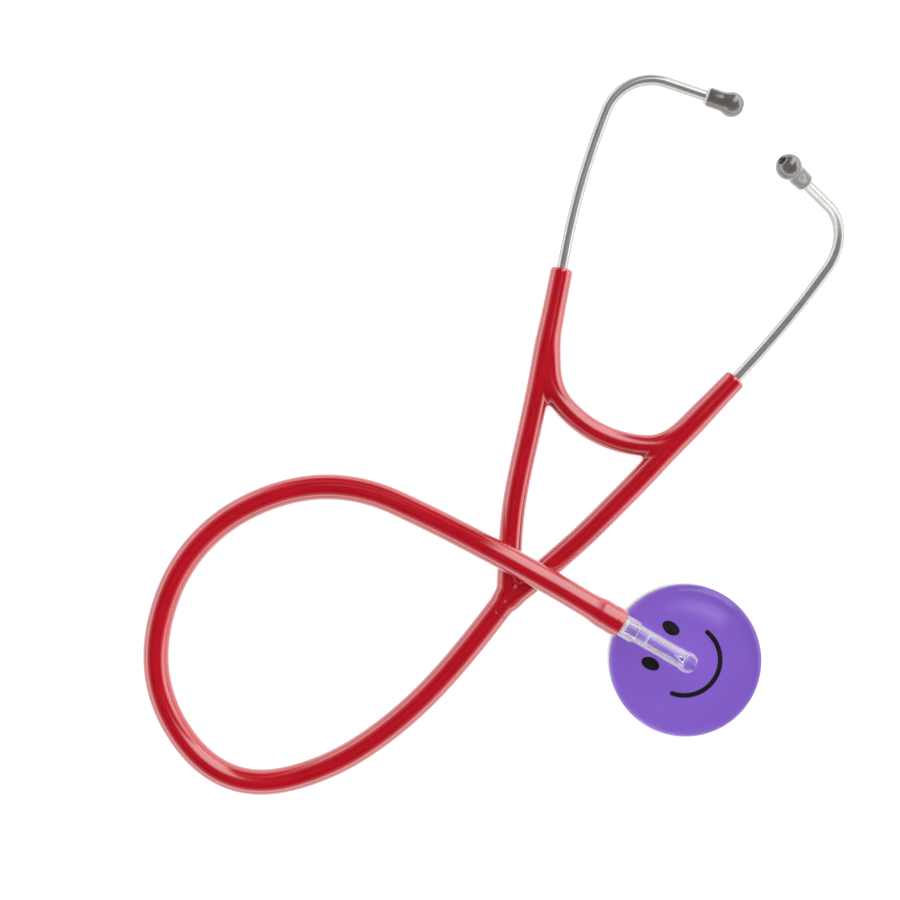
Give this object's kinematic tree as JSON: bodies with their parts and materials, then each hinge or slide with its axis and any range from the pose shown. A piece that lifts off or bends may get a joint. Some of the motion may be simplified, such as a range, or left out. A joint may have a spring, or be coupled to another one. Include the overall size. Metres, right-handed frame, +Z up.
{
  "type": "stethoscope",
  "caption": "Single-sided stethoscope lying flat: swinging steel ear tubes in a moulded yoke, one thick looped tube and a clear round chestpiece over a smiling picture disc.",
  "frame": {"origin": "middle of the footprint of the headset and chestpiece on the surface it lies on, without the free tube", "axes": "+Z up from that surface, +Y from the fork of the yoke towards the ear tips, +X to the right seen from above"},
  "size_m": [0.2281, 0.337, 0.0404],
  "materials": {
    "red_pvc": "smooth glossy red PVC",
    "bright_steel": "polished steel tube",
    "spring_steel": "tempered strip",
    "white_nylon": "moulded, satin",
    "grey_soft_pvc": "soft translucent grey PVC",
    "clear_acrylic": "polished clear acrylic",
    "purple_film": "printed film",
    "black_ink": "printed ink",
    "diaphragm_sheet": "thin stiff sheet"
  },
  "bodies": {
    "yoke": {"yoke_fork": "red_pvc", "yoke_arm_left": "red_pvc", "yoke_arm_right": "red_pvc", "bridge": "red_pvc", "leaf_spring": "spring_steel", "main_tube": "red_pvc"},
    "left_arm": {"sleeve_left": "red_pvc"},
    "right_arm": {"sleeve_right": "red_pvc"},
    "left_ear": {"ear_tube_left": "bright_steel", "tip_ferrule_left": "white_nylon"},
    "right_ear": {"ear_tube_right": "bright_steel", "tip_ferrule_right": "white_nylon"},
    "left_tip": {"ear_tip_left": "grey_soft_pvc"},
    "right_tip": {"ear_tip_right": "grey_soft_pvc"},
    "chestpiece": {"chest_head": "clear_acrylic", "chest_stem": "clear_acrylic", "picture_disc": "purple_film", "face_print": "black_ink", "spacer_ring": "white_nylon", "diaphragm": "diaphragm_sheet", "retaining_ring": "clear_acrylic"}
  },
  "joints": [
    {"name": "left_arm_swing", "type": "hinge", "parent": "yoke", "child": "left_arm", "pos_m": [-0.0529, -0.0129, 0.005], "axis": [0, 0, 1], "range_deg": [-4, 28], "stiffness_Nm_per_rad": 1.3},
    {"name": "right_arm_swing", "type": "hinge", "parent": "yoke", "child": "right_arm", "pos_m": [0.0075, -0.0129, 0.005], "axis": [0, 0, -1], "range_deg": [-4, 28], "stiffness_Nm_per_rad": 1.3},
    {"name": "left_ear_tube_turn", "type": "hinge", "parent": "left_arm", "child": "left_ear", "pos_m": [-0.0529, -0.0129, 0.005], "axis": [0.2807, -0.9598, 0], "range_deg": [0, 60]},
    {"name": "right_ear_tube_turn", "type": "hinge", "parent": "right_arm", "child": "right_ear", "pos_m": [0.0075, -0.0129, 0.005], "axis": [0.2807, 0.9598, 0], "range_deg": [-35, 25]},
    {"name": "left_ear_tip_turn", "type": "hinge", "parent": "left_ear", "child": "left_tip", "pos_m": [-0.03458, 0.11383, 0.005], "axis": [0.9882, 0.153, 0], "continuous": true},
    {"name": "right_ear_tip_turn", "type": "hinge", "parent": "right_ear", "child": "right_tip", "pos_m": [-0.00622, 0.0953, 0.03549], "axis": [-0.8161, 0.1027, 0.5687], "continuous": true},
    {"name": "chestpiece_swivel", "type": "hinge", "parent": "yoke", "child": "chestpiece", "pos_m": [0.02, -0.0878, 0.0164], "axis": [0.999, -0.0454, 0], "range_deg": [-180, 180]}
  ],
  "couplings": [
    {"joint": "right_arm_swing", "follows": "left_arm_swing", "ratio": 1}
  ]
}
